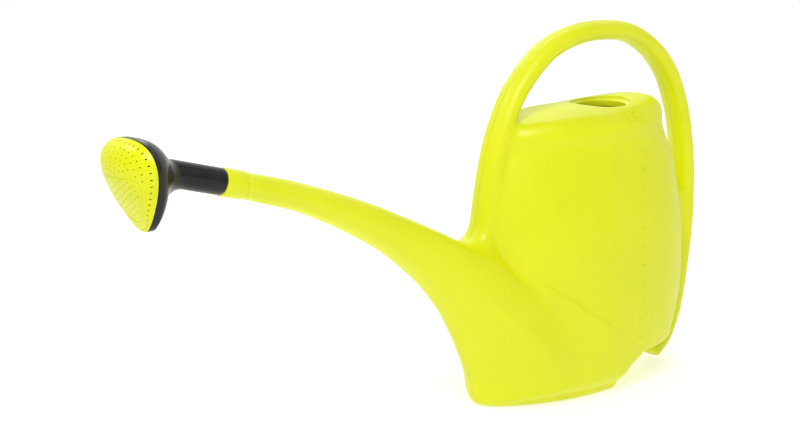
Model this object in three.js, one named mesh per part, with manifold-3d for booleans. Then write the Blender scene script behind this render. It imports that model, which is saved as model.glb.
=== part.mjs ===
// A long-spouted watering can: one blow-moulded body (tank, spout and loop handle) and a push-on rose.
// Millimetres, +Z up. The origin is the centre of the flat foot that the can stands on, the spout
// points along -X, and the can is the same on both sides of the XZ plane.
import * as THREE from "three";
import { mergeVertices } from "three/addons/utils/BufferGeometryUtils.js";
import Module from "manifold-3d";

const wasm = await Module();
wasm.setup();

// ---------------------------------------------------------------- driving dimensions
const gap = 0.3; // clearance between solids that touch
const wall = 2.4; // wall of the blow moulding
const sides = 28; // points round a tank or spout section
const lap = 1; // how far a cutting tool, or a piece that is joined on, runs past the face it meets

// Tank: plan outlines at rising heights, each from a front to a rear end and to a half-width.
const tankHeight = 342; // height of the top over the middle of the tank
const tankFront = [-97, -101, -104, -104, -103, -97, -86, -72];
const tankRear = [165, 196, 206, 216, 218, 212, 200, 184];
const tankHalfWidth = [64, 75, 83, 87, 87, 83, 76, 68];
const tankHeightShare = [0, 0.07, 0.18, 0.32, 0.5, 0.68, 0.84, 0.96]; // heights of those outlines
const tankSquareness = [2.5, 1.7]; // of the rear and the front half: 2 is an ellipse, larger is boxier
const footEdgeRadius = 9;
const shoulderRadius = 17;
const topInsets = [36, 52]; // outlines of the top, inside its shoulder
const topCrown = 9; // how much the top's long edges lie below its middle line
const slantStart = 0.55; // share of the height above which the sides follow the top's slant
const topRiseFront = -15; // height of the top's front and rear ends over the middle of the tank
const topRiseRear = 5;

// Finger notch under the rear of the tank.
const notchStart = 77; // where the flat foot ends
const notchRamp = 46; // length of the slope up to the notch's ceiling
const notchHeight = 43;

// Filling mouth in the top.
const mouthX = 102;
const mouthDiameter = 62;
const mouthRimWidth = 5.5; // of the countersunk recess round the mouth
const mouthRimDiameter = mouthDiameter + 2 * mouthRimWidth;
const mouthRecess = 5; // depth of that recess
const mouthCollarDepth = 13; // how far the collar round the mouth hangs down

// Spout: it grows out of the foot and the front of the tank. Each section runs from the keel (the
// underside) to the ridge (the upper side), and has a half-width; the last one is the foot's outline.
const keelLine = [
  [-433, 293], [-349, 264], [-256, 215], [-191, 164], [-153, 120],
  [-132, 84], [-117, 52], [-106, 26], [-99, 10],
];
const ridgeLine = [
  [-440, 324], [-362, 302], [-276, 271], [-208, 241], [-150, 212],
  [-86, 173], [-21, 131], [43, 86], [106, 40],
];
const spoutHalfWidth = [15.4, 18, 23, 29, 38, 52, 64, 72, 71];
const ridgeSquareness = [2, 2.1, 2.3, 2.6, 3.1, 3.9, 4.6, 4.6, 3.6];
const keelSquareness = [2, 2, 1.9, 1.75, 1.5, 1.38, 1.38, 1.45, 1.6];
const spoutRoot = [[-118, 218], [-135, 80]]; // the plane where the spout leaves the tank, over X and Z
const tubeLength = 24.5; // straight tube between the tapering spout and the rose's socket
const tubeDiameter = 30;
const tubeLap = 4; // how far the straight tube runs into the tapering spout
const noseLength = 48; // the thinner end that the rose is pushed on to
const noseDiameter = 24;
const noseWall = 2.2;
const noseTilt = 15; // degrees that the nose points up

// Handle: one loop from the spout's root, over the tank, to the rear spine.
const handleThickness = 23.5; // in the plane of the loop
const handleWidth = 35; // across it
const handleSquareness = 2.2;
const handleLoop = [ // over X, and up from the height of the tank's top
  [-93, -138], [-87, -94], [-76, -44], [-59, -2], [-36, 33], [5, 67], [52, 83], [100, 86],
  [148, 79], [190, 56], [220, 24], [240, -18], [250, -57], [256, -98], [257, -132],
];
const handlePath = handleLoop.map(([x, z]) => [x, tankHeight + z]);
const spineHeight = handlePath.at(-1)[1] + lap; // the spine meets the handle's rear end
const spineLine = [ // over X, and up as shares of the spine's height
  [257, 1], [256, 0.8], [250, 0.58], [243, 0.39], [235, 0.256], [220, 0.128], [201, 0.057],
];
const spinePath = spineLine.map(([x, share]) => [x, spineHeight * share]);
const heelFront = 185; // front end of the heel that the spine runs down to
const spineWebWidth = 22; // the web that joins the spine to the tank
const spineWebFront = [135, 78]; // the web's lower front corner, inside the tank

// Rose: a socket that slides over the nose, a flare, a rim band and a drilled face. The face's edge is
// an egg with its wide end up, in a plane that leans down from the nose's axis.
const socketWall = 1.9;
const socketDiameter = noseDiameter + 2 * (gap + socketWall);
const socketLength = 46;
const roseReach = 124.5; // along the nose's axis, from the start of the tube to the face's edge
const roseDrop = 17.3; // from the nose's axis down to the middle of the face's edge
const roseTilt = -9; // degrees that the face looks up (down when negative)
const roseHalfHeight = 48.5;
const roseHalfWidth = 40;
const roseLean = 0.5; // how much wider the egg is above its middle
const bandLean = 0.3; // the same at the back of the band
const roseBluntness = 0.8; // 1 is an egg, smaller is squarer
const roseWall = 2;
const roseSides = 40; // points round a ring of the rose
const bandDepth = 11;
const skirtDepth = 6; // the face's snap-in skirt
const bandTurn = 0.6; // how far the band runs on past the skirt before it turns into the flare
const bandStraight = skirtDepth + bandTurn;
// How much of the egg is left along the flare, in equal steps from the band to the socket.
const flareShape = [0.9, 0.8, 0.64, 0.48, 0.34, 0.24, 0.16, 0.09, 0.045, 0.015, 0];
const flareLead = 1; // how much sooner the flare narrows at its top than at its foot
const faceThickness = 1.8;
const faceBulge = 24; // height of the face's dome over its edge
const bulgeRise = 17; // how far above the outline's middle the dome is highest
const facetTilt = 20; // degrees that the flat lower facet leans from the face's edge
const facetDepth = 19; // how far the facet's plane stands in front of the middle of the face's edge
const skirtWall = 1.5;
const skirtClearance = 0.8;
const holeDiameter = 1.6;
const holeRows = [0.3, 0.58, 0.86]; // rings of holes, as shares of the outline
const holePitch = 13; // distance between holes along a ring

// ---------------------------------------------------------------- solids from rings of points
const smooth = (values, share) => {
  const points = values.map((v, i) => new THREE.Vector3(i, v, 0));
  return new THREE.CatmullRomCurve3(points, false, "catmullrom", 0.5).getPoint(share).y;
};
const mix = THREE.MathUtils.lerp;
const rad = THREE.MathUtils.degToRad;
const power = (v, e) => Math.sign(v) * Math.abs(v) ** e;
const quarter = Math.PI / 2;

// Longer than the can, for the tools that cut right across it.
const reach = 2 * (Math.max(...tankRear) - keelLine[0][0]);

// A ring of points round `centre`: `half` along the direction `up` in the XZ plane, `width` across it.
function ring(centre, up, half, width, upper = 2, lower = upper, count = sides) {
  return Array.from({ length: count }, (_, i) => {
    const t = (2 * Math.PI * i) / count;
    const e = 2 / (Math.cos(t) > 0 ? upper : lower);
    const across = width * power(Math.sin(t), e);
    return centre.clone().addScaledVector(up, half * power(Math.cos(t), e)).setY(across);
  });
}

// A closed mesh through a list of rings, with a fan on the first and the last.
function loft(rings) {
  const n = rings[0].length;
  const middle = (r) => r.reduce((a, p) => a.add(p), new THREE.Vector3()).divideScalar(n);
  const points = [...rings.flat(), middle(rings[0]), middle(rings.at(-1))];
  const faces = [];
  for (let j = 0; j + 1 < rings.length; j += 1) {
    for (let i = 0; i < n; i += 1) {
      const [a, b] = [j * n + i, j * n + ((i + 1) % n)];
      faces.push(a, b, b + n, a, b + n, a + n);
    }
  }
  const last = (rings.length - 1) * n;
  for (let i = 0; i < n; i += 1) {
    faces.push(rings.length * n, (i + 1) % n, i);
    faces.push(rings.length * n + 1, last + i, last + ((i + 1) % n));
  }
  const geometry = new THREE.BufferGeometry().setFromPoints(points);
  geometry.setIndex(faces);
  return solid(geometry);
}

// A three.js geometry as a manifold-3d solid, turned the right way out.
function solid(geometry) {
  const bare = geometry.clone();
  bare.deleteAttribute("normal");
  bare.deleteAttribute("uv");
  const merged = mergeVertices(bare, 1e-4);
  const vertProperties = new Float32Array(merged.attributes.position.array);
  const triVerts = new Uint32Array(merged.index.array);
  const made = new wasm.Manifold(new wasm.Mesh({ numProp: 3, vertProperties, triVerts }));
  if (made.volume() > 0) return made;
  for (let i = 0; i < triVerts.length; i += 3) {
    [triVerts[i + 1], triVerts[i + 2]] = [triVerts[i + 2], triVerts[i + 1]];
  }
  return new wasm.Manifold(new wasm.Mesh({ numProp: 3, vertProperties, triVerts }));
}

function named(name, body, material) {
  const out = body.getMesh();
  const geometry = new THREE.BufferGeometry();
  geometry.setAttribute("position", new THREE.BufferAttribute(new Float32Array(out.vertProperties), 3));
  geometry.setIndex(new THREE.BufferAttribute(new Uint32Array(out.triVerts), 1));
  geometry.computeVertexNormals();
  const mesh = new THREE.Mesh(geometry, material);
  mesh.name = name;
  return mesh;
}

// The largest piece of a body, without the slivers that crossing walls can leave.
const largest = (body) => body.decompose().reduce((a, b) => (a.volume() > b.volume() ? a : b));
const join = (...bodies) => bodies.reduce((a, b) => a.add(b));
const cut = (body, ...tools) => tools.reduce((a, b) => a.subtract(b), body);

// A flat outline in the XZ plane, as thick as `width` across Y.
function plate(outline, width) {
  const shape = new THREE.Shape(outline.map(([x, z]) => new THREE.Vector2(x, z)));
  const geometry = new THREE.ExtrudeGeometry(shape, { depth: width, bevelEnabled: false });
  geometry.rotateX(Math.PI / 2).translate(0, width / 2, 0);
  return solid(geometry);
}

// A bar of oval section along a path in the XZ plane.
function bar(path, thickness, width, steps, count = 16) {
  const curve = new THREE.CatmullRomCurve3(path.map(([x, z]) => new THREE.Vector3(x, 0, z)));
  const rings = [];
  for (let i = 0; i <= steps; i += 1) {
    const way = curve.getTangentAt(i / steps);
    const up = new THREE.Vector3(-way.z, 0, way.x);
    const centre = curve.getPointAt(i / steps);
    rings.push(ring(centre, up, thickness / 2, width / 2, handleSquareness, handleSquareness, count));
  }
  return loft(rings);
}

// ---------------------------------------------------------------- tank
// The top's middle line over X: it falls to the front and climbs a little to the rear.
function topLine(x) {
  const share = (x - tankFront.at(-1)) / (tankRear.at(-1) - tankFront.at(-1));
  const u = THREE.MathUtils.clamp(share, 0, 1);
  return tankHeight + (u < 0.5 ? topRiseFront * (1 - 2 * u) ** 2 : topRiseRear * (2 * u - 1) ** 1.5);
}

// The tank grown by `grow` on every side (a negative number gives its inside).
function tankBody(grow) {
  const rings = [];
  const outline = (share, inset, lift) => {
    let k = 0;
    while (k < tankHeightShare.length - 2 && tankHeightShare[k + 1] < share) k += 1;
    const local = (share - tankHeightShare[k]) / (tankHeightShare[k + 1] - tankHeightShare[k]);
    const at = (k + THREE.MathUtils.clamp(local, 0, 1)) / (tankHeightShare.length - 1);
    const [front, rear, width] = [tankFront, tankRear, tankHalfWidth].map((v) => smooth(v, at));
    const half = (rear - front) / 2 + grow - inset;
    const centre = new THREE.Vector3((front + rear) / 2, 0, 0);
    const flat = ring(centre, new THREE.Vector3(1, 0, 0), half, width + grow - inset, ...tankSquareness);
    const level = share * (tankHeight - shoulderRadius) + lift;
    const slant = THREE.MathUtils.smoothstep(share, slantStart, 1);
    for (const p of flat) {
      const crown = topCrown * (p.y / tankHalfWidth.at(-1)) ** 2;
      p.z = level + slant * (topLine(p.x) - tankHeight - crown);
    }
    rings.push(flat);
  };
  const footSteps = 3;
  for (let i = 0; i <= footSteps; i += 1) {
    const t = (i / footSteps) * quarter;
    outline(0, footEdgeRadius * (1 - Math.sin(t)), footEdgeRadius * (1 - Math.cos(t)) - grow);
  }
  const wallSteps = 11;
  const wallStart = 2 * footEdgeRadius / tankHeight;
  for (let i = 1; i < wallSteps; i += 1) outline(mix(wallStart, 1, i / wallSteps), 0, 0);
  const shoulderSteps = 4;
  for (let i = 0; i <= shoulderSteps; i += 1) {
    const t = (i / shoulderSteps) * quarter;
    outline(1, shoulderRadius * (1 - Math.cos(t)), (shoulderRadius + grow) * Math.sin(t));
  }
  for (const inset of topInsets) outline(1, inset, shoulderRadius + grow);
  return loft(rings);
}

// What the notch for the fingers takes away: a quarter of an oval, then a flat ceiling.
function notch(grow) {
  const start = notchStart - grow;
  const ceiling = notchHeight + grow;
  const outline = [[start, -reach]];
  const steps = 6;
  for (let i = 0; i <= steps; i += 1) {
    const t = (i / steps) * quarter;
    outline.push([start + notchRamp * (1 - Math.cos(t)), ceiling * Math.sin(t)]);
  }
  outline.push([reach, ceiling], [reach, -reach]);
  return plate(outline, reach);
}

// ---------------------------------------------------------------- spout
const noseUp = new THREE.Vector3(Math.sin(rad(noseTilt)), 0, Math.cos(rad(noseTilt)));
const noseWay = new THREE.Vector3(-Math.cos(rad(noseTilt)), 0, Math.sin(rad(noseTilt)));
const noseStart = new THREE.Vector3(
  (keelLine[0][0] + ridgeLine[0][0]) / 2,
  0,
  (keelLine[0][1] + ridgeLine[0][1]) / 2,
);
const alongNose = (distance) => noseStart.clone().addScaledVector(noseWay, distance);

function spoutBody(grow) {
  const rings = [];
  const steps = 16;
  for (let i = steps; i >= 0; i -= 1) {
    const t = i / steps;
    const point = (line) => new THREE.Vector3(
      smooth(line.map((p) => p[0]), t), 0, smooth(line.map((p) => p[1]), t),
    );
    const [keel, ridge] = [point(keelLine), point(ridgeLine)];
    const half = keel.distanceTo(ridge) / 2 + grow;
    const up = ridge.clone().sub(keel).normalize();
    const centre = keel.clone().add(ridge).multiplyScalar(0.5);
    const upper = smooth(ridgeSquareness, t);
    const lower = smooth(keelSquareness, t);
    rings.push(ring(centre, up, half, smooth(spoutHalfWidth, t) + grow, upper, lower));
  }
  return loft(rings);
}

// A round bar along the nose's axis, from one distance to another.
function noseBar(from, to, startDiameter, endDiameter = startDiameter) {
  return loft([[from, startDiameter], [to, endDiameter]].map(([at, d]) => (
    ring(alongNose(at), noseUp, d / 2, d / 2, 2, 2, 32))));
}

// ---------------------------------------------------------------- moulding
// The rear spine carries the handle's oval down to a heel over the notch, on a web from the tank.
function spine(grow) {
  const [[x, top], ...rest] = spinePath;
  const saddle = top + Math.min(grow, 0); // the web's top edge, closed where the hollow's is open
  const heel = [heelFront, rest.at(-1)[1]];
  const web = [[x, saddle], ...rest, heel, spineWebFront, [tankRear[0], saddle]];
  const mouth = [x, grow < 0 ? top + lap : top]; // the hollow runs on into the handle's
  return join(
    bar([mouth, ...rest], handleThickness + 2 * grow, handleWidth + 2 * grow, 12),
    plate(web, spineWebWidth + 2 * grow),
  );
}

// Everything below a level, so that nothing of the moulding reaches under its floor.
const below = (level) => plate([[-reach, -reach], [reach, -reach], [reach, level], [-reach, level]], reach);

// The tank, the spout and the spine in one, grown by `grow`.
function moulding(grow) {
  const vessel = cut(join(tankBody(grow), spoutBody(grow)), notch(-grow));
  return cut(join(vessel, spine(grow)), below(-grow));
}
const noseEnd = tubeLength + noseLength;
const outer = join(
  moulding(0),
  noseBar(-tubeLap, tubeLength, tubeDiameter),
  noseBar(tubeLength - lap, noseEnd, noseDiameter),
);
const bore = noseDiameter - 2 * noseWall;
const inner = join(moulding(-wall), noseBar(-noseDiameter / 2, noseEnd + lap, bore));

// The filling mouth: a collar hangs from the top, with a recess round its bore.
function mouthDisc(diameter, from, to) {
  const slope = Math.atan2(topLine(mouthX + lap) - topLine(mouthX - lap), 2 * lap);
  const disc = new THREE.CylinderGeometry(diameter / 2, diameter / 2, to - from, 48);
  disc.rotateX(quarter).translate(0, 0, (from + to) / 2);
  return solid(disc.rotateY(-slope).translate(mouthX, 0, topLine(mouthX)));
}
const collar = mouthDisc(mouthRimDiameter + 2 * wall, -mouthCollarDepth, lap).intersect(outer);
const shell = cut(
  join(cut(outer, inner), collar),
  mouthDisc(mouthRimDiameter, -mouthRecess, shoulderRadius),
  mouthDisc(mouthDiameter, -mouthCollarDepth - wall, shoulderRadius),
);

// The spout is what lies in front of its root plane.
function frontOfRoot(shift) {
  const [top, foot] = spoutRoot.map(([x, z]) => new THREE.Vector2(x + shift, z));
  const way = top.clone().sub(foot).normalize().multiplyScalar(reach);
  const [high, low] = [top.clone().add(way), foot.clone().sub(way)];
  return plate([[high.x, high.y], [high.x - reach, high.y], [low.x - reach, low.y], [low.x, low.y]], reach);
}
const tank = cut(shell, frontOfRoot(gap / 2));
const spout = shell.intersect(frontOfRoot(-gap / 2));

// ---------------------------------------------------------------- handle
const grown = moulding(gap);
const handle = cut(
  bar(handlePath, handleThickness, handleWidth, 32),
  bar(handlePath, handleThickness - 2 * wall, handleWidth - 2 * wall, 32),
  grown,
);

// ---------------------------------------------------------------- rose
const faceUp = new THREE.Vector3(Math.sin(rad(roseTilt)), 0, Math.cos(rad(roseTilt)));
const faceWay = new THREE.Vector3(-Math.cos(rad(roseTilt)), 0, Math.sin(rad(roseTilt)));
const faceMiddle = alongNose(roseReach).addScaledVector(noseUp, -roseDrop);

// How egg-shaped a ring is: the band loses some of the face's lean towards its back.
const bandShare = (forward) => THREE.MathUtils.clamp(-forward / bandDepth, 0, 1);
const leanAt = (forward) => mix(roseLean, bandLean, bandShare(forward));

// A ring shaped like the face's edge, `forward` of its plane, shrunk by `inset` and by `share`. Where
// `round`, a function of the cosine round the ring, goes from 0 to 1, the ring turns into a circle of
// radius `radius` round the nose's axis.
function eggRing(forward, inset = 0, share = 1, round = () => 0, radius = 0, lean = () => leanAt(forward)) {
  const way = forward < 0 ? new THREE.Vector3(-1, 0, 0) : faceWay;
  const level = bulgeRise * (1 - share);
  const egg = faceMiddle.clone().addScaledVector(way, forward).addScaledVector(faceUp, level);
  return Array.from({ length: roseSides }, (_, i) => {
    const t = (2 * Math.PI * i) / roseSides;
    const [c, s] = [Math.cos(t), Math.sin(t)];
    const roundness = round(c);
    const up = faceUp.clone().lerp(noseUp, roundness).normalize();
    const centre = egg.clone().lerp(alongNose(roseReach + forward), roundness);
    const along = mix((roseHalfHeight * share - inset) * c, radius * c, roundness);
    const wide = (roseHalfWidth * share - inset) * power(s, roseBluntness) * (1 + lean(c) * c);
    return centre.addScaledVector(up, along).setY(mix(wide, radius * s, roundness));
  });
}
const eggBar = (from, to, inset) => loft([eggRing(from, inset), eggRing(to, inset)]);

// The same for the skirt, straight enough to draw out of the band: everywhere as narrow as the band is
// anywhere over the skirt's depth.
const skirtLean = (c) => (c > 0 ? leanAt(-skirtDepth) : roseLean);
const skirtRing = (forward, inset) => eggRing(forward, inset, 1, () => 0, 0, skirtLean);
const skirtBar = (from, to, inset) => loft([skirtRing(from, inset), skirtRing(to, inset)]);

// The shell's outside, or its inside with `inset` for the wall: band, flare and socket in one loft.
// Both ends run `over` past the shell's own.
const flareLength = roseReach - tubeLength - socketLength - bandDepth;
function shellBody(inset, radius, over) {
  const rings = [eggRing(over - gap, inset), eggRing(-bandStraight, inset)];
  flareShape.forEach((share, i) => {
    const along = i / (flareShape.length - 1);
    const left = (c) => smooth(flareShape, Math.min(1, along * (1 + flareLead * ((1 + c) / 2) ** 2)));
    const forward = inset * share - bandDepth - along * flareLength;
    rings.push(eggRing(forward, inset, 1, (c) => 1 - left(c), radius));
  });
  rings.push(ring(alongNose(tubeLength + gap - over), noseUp, radius, radius, 2, 2, roseSides));
  return loft(rings);
}
const roseShell = cut(
  shellBody(0, socketDiameter / 2, 0),
  shellBody(roseWall, noseDiameter / 2 + gap, lap),
);

// The face: a dome that a flat facet cuts across below its middle, on a flange with a snap-in skirt.
function dome(inset) {
  const rings = [eggRing(-2 * inset, inset)];
  const steps = 8;
  for (let i = 0; i < steps; i += 1) {
    const t = (i / steps) * quarter;
    rings.push(eggRing((faceBulge - inset) * Math.sin(t), inset, Math.cos(t)));
  }
  const facet = rad(roseTilt - facetTilt);
  const way = new THREE.Vector3(-Math.cos(facet), 0, Math.sin(facet));
  const along = new THREE.Vector3(Math.sin(facet), 0, Math.cos(facet));
  const middle = faceMiddle.clone().addScaledVector(faceWay, facetDepth).addScaledVector(way, -inset);
  const corner = (a, w) => middle.clone().addScaledVector(along, a).addScaledVector(way, w);
  const outline = [[-reach, 0], [reach, 0], [reach, reach], [-reach, reach]].map(([a, w]) => corner(a, w));
  return cut(loft(rings), plate(outline.map((p) => [p.x, p.z]), reach));
}
const skirtInset = roseWall + skirtClearance;
const skirtBore = skirtBar(-skirtDepth - lap, faceThickness + lap, skirtInset + skirtWall);
const flange = cut(eggBar(0, faceThickness, 0), skirtBore);
const skirt = cut(skirtBar(-skirtDepth, faceThickness, skirtInset), skirtBore);
const envelope = join(dome(0), eggBar(-skirtDepth - lap, 0, 0));

// A six-sided drill along the face's axis through `point`.
function drill(point) {
  const radius = holeDiameter / 2;
  const ends = [-lap, faceBulge + lap].map((forward) => point.clone().addScaledVector(faceWay, forward));
  const outline = (end) => ring(end, faceUp, radius, radius, 2, 2, 6).map((q) => q.setY(q.y + point.y));
  return loft(ends.map(outline));
}
const drills = [];
for (const share of holeRows) {
  const edge = new THREE.CatmullRomCurve3(eggRing(0, 0, share), true);
  const count = Math.floor(edge.getLength() / holePitch);
  for (let i = 0; i < count; i += 1) drills.push(drill(edge.getPointAt(i / count)));
}
const faceShell = cut(dome(0), dome(faceThickness));
const roseFace = cut(join(faceShell, flange, skirt).intersect(envelope), ...drills);

// ---------------------------------------------------------------- scene
const lime = new THREE.MeshStandardMaterial({ color: 0xdfe81f, roughness: 0.42, metalness: 0 });
const black = new THREE.MeshStandardMaterial({ color: 0x1c1a1b, roughness: 0.22, metalness: 0 });
const can = new THREE.Group();
can.add(
  named("tank", largest(tank), lime),
  named("spout", largest(spout), lime),
  named("handle", largest(handle), lime),
  named("rose_shell", largest(roseShell), black),
  named("rose_face", largest(roseFace), lime),
);
export default can;
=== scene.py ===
"""Fine surfaces, finishes and stage of a long-spouted watering can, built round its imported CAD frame.

Shapes are worked out in millimetres in the CAD's own frame: +Z up, the spout towards -X, the can's
plane of symmetry at Y = 0, and the origin at the middle of the flat foot.
"""

import bpy
import numpy as np
import openvdb
from bpy.props import FloatProperty, FloatVectorProperty, IntProperty, PointerProperty, StringProperty
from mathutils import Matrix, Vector
from mathutils.bvhtree import BVHTree
from mathutils.geometry import delaunay_2d_cdt


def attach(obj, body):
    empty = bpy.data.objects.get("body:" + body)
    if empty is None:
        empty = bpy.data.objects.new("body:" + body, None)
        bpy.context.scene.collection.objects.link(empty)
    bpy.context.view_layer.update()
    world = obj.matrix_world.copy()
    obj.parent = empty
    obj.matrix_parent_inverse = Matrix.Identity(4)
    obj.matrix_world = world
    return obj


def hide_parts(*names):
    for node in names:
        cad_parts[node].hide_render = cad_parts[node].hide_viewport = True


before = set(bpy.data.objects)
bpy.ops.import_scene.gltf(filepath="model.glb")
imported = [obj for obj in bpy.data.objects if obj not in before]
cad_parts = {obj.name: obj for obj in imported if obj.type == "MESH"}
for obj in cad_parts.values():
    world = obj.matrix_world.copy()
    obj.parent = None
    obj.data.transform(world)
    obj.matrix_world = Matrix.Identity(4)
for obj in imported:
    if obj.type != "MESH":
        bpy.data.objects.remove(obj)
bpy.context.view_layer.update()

bl_info = {
    "name": "Watering Can Looks",
    "version": (1, 0, 0),
    "blender": (4, 5, 0),
    "location": "View3D > Sidebar > Watering Can",
    "description": "Builds the fine surfaces, finishes and stage of a long-spouted watering can",
    "category": "Add Mesh",
}

MM = 0.001
TAU = 2 * np.pi
GAP = 0.3  # clearance between pieces that touch

# ---------------------------------------------------------------- the can's outlines, as in its CAD model
TANK_HEIGHT = 342.0
TANK_FRONT = [-97, -101, -104, -104, -103, -97, -86, -72]
TANK_REAR = [165, 196, 206, 216, 218, 212, 200, 184]
TANK_HALF_WIDTH = [64, 75, 83, 87, 87, 83, 76, 68]
TANK_SHARE = [0, 0.07, 0.18, 0.32, 0.5, 0.68, 0.84, 0.96]
TANK_SQUARENESS = (2.5, 1.7)
FOOT_RADIUS, SHOULDER_RADIUS = 9.0, 17.0
TOP_CROWN, TOP_RISE_FRONT, TOP_RISE_REAR = 9.0, -15.0, 5.0
SLANT_START = 0.55
NOTCH_START, NOTCH_RAMP, NOTCH_HEIGHT = 77.0, 46.0, 43.0
MOUTH_X, MOUTH_DEPTH = 102.0, 5.0
MOUTH_CUT = 44.0  # radius of the opening in the skin, under the mouth's rim piece
MOUTH_REACH = 40.0  # how far over and under the top that opening is cut
SPOUT_CUT = -3.0  # where the skin ends under the nose piece, along the nose's axis
RIM_REACH = 5.0  # how far a face at an opening may reach past it
KEEL = [
    (-433, 293), (-349, 264), (-256, 215), (-191, 164), (-153, 120),
    (-132, 84), (-117, 52), (-106, 26), (-99, 10),
]
RIDGE = [
    (-440, 324), (-362, 302), (-276, 271), (-208, 241), (-150, 212),
    (-86, 173), (-21, 131), (43, 86), (106, 40),
]
SPOUT_HALF_WIDTH = [15.4, 18, 23, 29, 38, 52, 64, 72, 71]
RIDGE_SQUARENESS = [2, 2.1, 2.3, 2.6, 3.1, 3.9, 4.6, 4.6, 3.6]
KEEL_SQUARENESS = [2, 2, 1.9, 1.75, 1.5, 1.38, 1.38, 1.45, 1.6]
HANDLE_THICKNESS, HANDLE_WIDTH, HANDLE_SQUARENESS = 23.5, 35.0, 2.2
HANDLE_PATH = [  # its first point lies in the spout, its last ones are the rear spine
    (-98, 168), (-93, 204), (-87, 248), (-76, 298), (-59, 340), (-36, 375), (5, 409), (52, 425), (100, 428),
    (148, 421), (190, 398), (220, 366), (240, 324), (250, 285), (256, 244), (257, 210),
    (256, 169), (250, 122), (243, 82), (235, 54), (220, 27), (201, 12),
]
WEB_PATH = [(165, 211), (160, 160), (152, 110), (145, 78), (150, 55), (168, 30), (185, 14)]
WEB_WIDTH = 22.0
SPINE_START = 15  # where the spine begins in the handle's path
CREASE_START = 5  # where the crease begins in the ridge's points
CREASE_PROUD, CREASE_UNDER = 1.1, 16.0  # height of the step below the ridge line, and how fast it fades
CREASE_SUNK, CREASE_OVER = 0.5, 7.0  # the same above the line
CREASE_COSINE = 0.81  # of the ridge line's slope
NOSE_TILT = np.radians(15)
NOSE_START = np.array([-436.5, 0, 308.5])
NOSE_WAY = np.array([-np.cos(NOSE_TILT), 0, np.sin(NOSE_TILT)])
NOSE_UP = np.array([np.sin(NOSE_TILT), 0, np.cos(NOSE_TILT)])
TUBE_LENGTH, TUBE_RADIUS = 24.5, 15.0
NOSE_LENGTH, NOSE_RADIUS, NOSE_WALL = 48.0, 12.0, 2.2

# The rose.
ROSE_REACH, ROSE_DROP, ROSE_TILT = 124.5, 17.3, np.radians(-9)
ROSE_HALF_HEIGHT, ROSE_HALF_WIDTH = 48.5, 40.0
ROSE_LEAN, BAND_LEAN, ROSE_BLUNTNESS = 0.5, 0.3, 0.8
ROSE_WALL, EDGE_RADIUS = 2.0, 0.7
SOCKET_RADIUS, SOCKET_LENGTH, BAND_DEPTH, BAND_STRAIGHT = 14.2, 46.0, 11.0, 6.6
FLARE_SHAPE = [0.9, 0.8, 0.64, 0.48, 0.34, 0.24, 0.16, 0.09, 0.045, 0.015, 0]
FLARE_LENGTH = ROSE_REACH - TUBE_LENGTH - SOCKET_LENGTH - BAND_DEPTH
FACE_BULGE, BULGE_RISE = 24.0, 17.0
FACET_HEIGHT, FACET_SLOPE, FACET_CROWN = 19.0, 0.364, 0.0045
FACET_SIDE = 0.8  # of the rim, where the facet's outline runs down its sides
FACET_TOP, FACET_REACH, FACET_ROUNDING = 15.5, 44.0, 6  # its top edge, its height, its corners' squareness
GROOVE_REACH = 38.0  # millimetres for each unit of `facet_edge`
GROOVE_DEPTH, GROOVE_WIDTH = 0.75, 0.75
RIM_SHARE = 0.985  # the largest share at which points are scattered inside the rim
FACE_UP = np.array([np.sin(ROSE_TILT), 0, np.cos(ROSE_TILT)])
FACE_WAY = np.array([-np.cos(ROSE_TILT), 0, np.sin(ROSE_TILT)])
FACE_MIDDLE = NOSE_START + NOSE_WAY * ROSE_REACH - NOSE_UP * ROSE_DROP
Y_AXIS = np.array([0.0, 1.0, 0.0])


# ---------------------------------------------------------------- curves and grids
def smooth(values, share):
    """Uniform Catmull-Rom curve through equally spaced values, read at shares from 0 to 1."""
    v = np.asarray(values, float)
    p = np.concatenate([[2 * v[0] - v[1]], v, [2 * v[-1] - v[-2]]])
    s = np.clip(share, 0, 1) * (len(v) - 1)
    k = np.minimum(s.astype(int), len(v) - 2)
    t = (s - k).reshape(s.shape + (1,) * (v.ndim - 1))
    a, b, c, d = p[k], p[k + 1], p[k + 2], p[k + 3]
    return b + 0.5 * t * ((c - a) + t * ((2 * a - 5 * b + 4 * c - d) + t * (3 * (b - c) + d - a)))


def even_path(points, count):
    """The curve through `points`, read at `count` places an equal length apart, with its directions."""
    dense = smooth(points, np.linspace(0, 1, 4000))
    walked = np.concatenate([[0], np.cumsum(np.linalg.norm(np.diff(dense, axis=0), axis=1))])
    at = np.linspace(0, walked[-1], count)
    path = np.stack([np.interp(at, walked, dense[:, i]) for i in (0, 1)], 1)
    way = np.gradient(path, axis=0)
    return path, way / np.linalg.norm(way, axis=1)[:, None]


def signed_power(v, e):
    return np.sign(v) * np.abs(v) ** e


def superellipse(count, upper, lower):
    """Unit ring (cos^(2/n), sin^(2/n)) whose exponent n is `upper` above its middle and `lower` below."""
    t = np.linspace(0, TAU, count, endpoint=False)
    c, s = np.cos(t), np.sin(t)
    e = 2 / np.where(c > 0, np.asarray(upper)[..., None], np.asarray(lower)[..., None])
    return signed_power(c, e), signed_power(s, e)


def in_plane(path, along, across):
    """Points of sections: path (x, z), plus `along` up the section's direction in XZ, plus `across` in Y."""
    return np.stack([path[..., 0] + along[..., 0], across, path[..., 1] + along[..., 1]], -1)


def grid_faces(rows, cols, wrap_rows=False):
    """Quads over a grid of rows x cols points that closes round its columns."""
    j = np.arange(rows if wrap_rows else rows - 1)[:, None]
    i = np.arange(cols)[None, :]
    a, b = j * cols + i, j * cols + (i + 1) % cols
    up = (j + 1) % rows
    c, d = up * cols + (i + 1) % cols, up * cols + i
    return np.stack([a, b, c, d], -1).reshape(-1, 4)


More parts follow.
